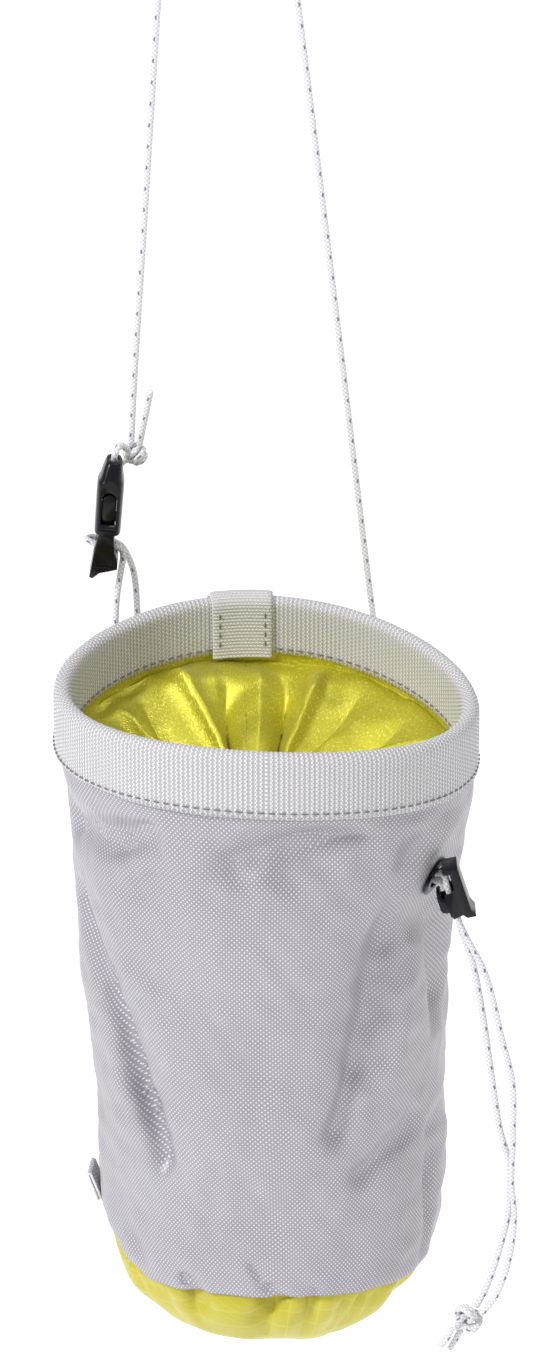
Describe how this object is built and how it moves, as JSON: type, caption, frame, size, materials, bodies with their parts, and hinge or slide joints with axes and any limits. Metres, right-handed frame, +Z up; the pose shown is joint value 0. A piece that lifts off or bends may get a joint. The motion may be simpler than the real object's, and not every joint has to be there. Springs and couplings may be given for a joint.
{
  "type": "climbing chalk bag",
  "caption": "Cylindrical cloth chalk bag hanging open by its waist cord, with a webbing rim, a drawn satin lining, a cord lock on a draw cord and a side-release clip.",
  "frame": {"origin": "top of the waist cord's loop, where the bag hangs from a hook or peg", "axes": "+Z up, and the bag's front faces -Y"},
  "size_m": [0.1361, 0.1256, 0.4701],
  "materials": {
    "grey_cloth": "lilac-grey dobby weave with a slight sheen",
    "yellow_cloth": "yellow-green ripstop",
    "yellow_satin": "shiny lime-yellow satin",
    "off_white_webbing": "ribbed off-white webbing",
    "grey_webbing": "ribbed pale grey webbing",
    "white_braid": "white braid with dark tracer flecks",
    "black_plastic": "glossy black"
  },
  "bodies": {
    "bag": {"shell": "grey_cloth", "bottom": "yellow_cloth", "rim_binding": "off_white_webbing", "rim_patch": "grey_webbing", "lining": "yellow_satin", "lining_hem": "yellow_satin", "grommet": "black_plastic", "lock_housing": "black_plastic", "clip_socket": "black_plastic", "clip_plug": "black_plastic", "belt_sleeve": "off_white_webbing", "loop_tab": "off_white_webbing", "waist_cord": "white_braid", "sleeve_cord": "white_braid", "clip_cord": "white_braid", "waist_eye_cord": "white_braid", "waist_tail": "white_braid", "draw_cord_right": "white_braid", "draw_cord_left": "white_braid", "draw_tail_left": "white_braid", "draw_tail_right": "white_braid", "draw_loop": "white_braid", "waist_knot": "white_braid", "draw_knot": "white_braid"},
    "button": {"lock_button": "black_plastic"}
  },
  "joints": [
    {"name": "lock_button_press", "type": "slide", "parent": "bag", "child": "button", "axis": [0.9563, 0, 0.2924], "range_m": [0, 0.0012], "stiffness_N_per_m": 200, "springref_m": -0.001}
  ]
}
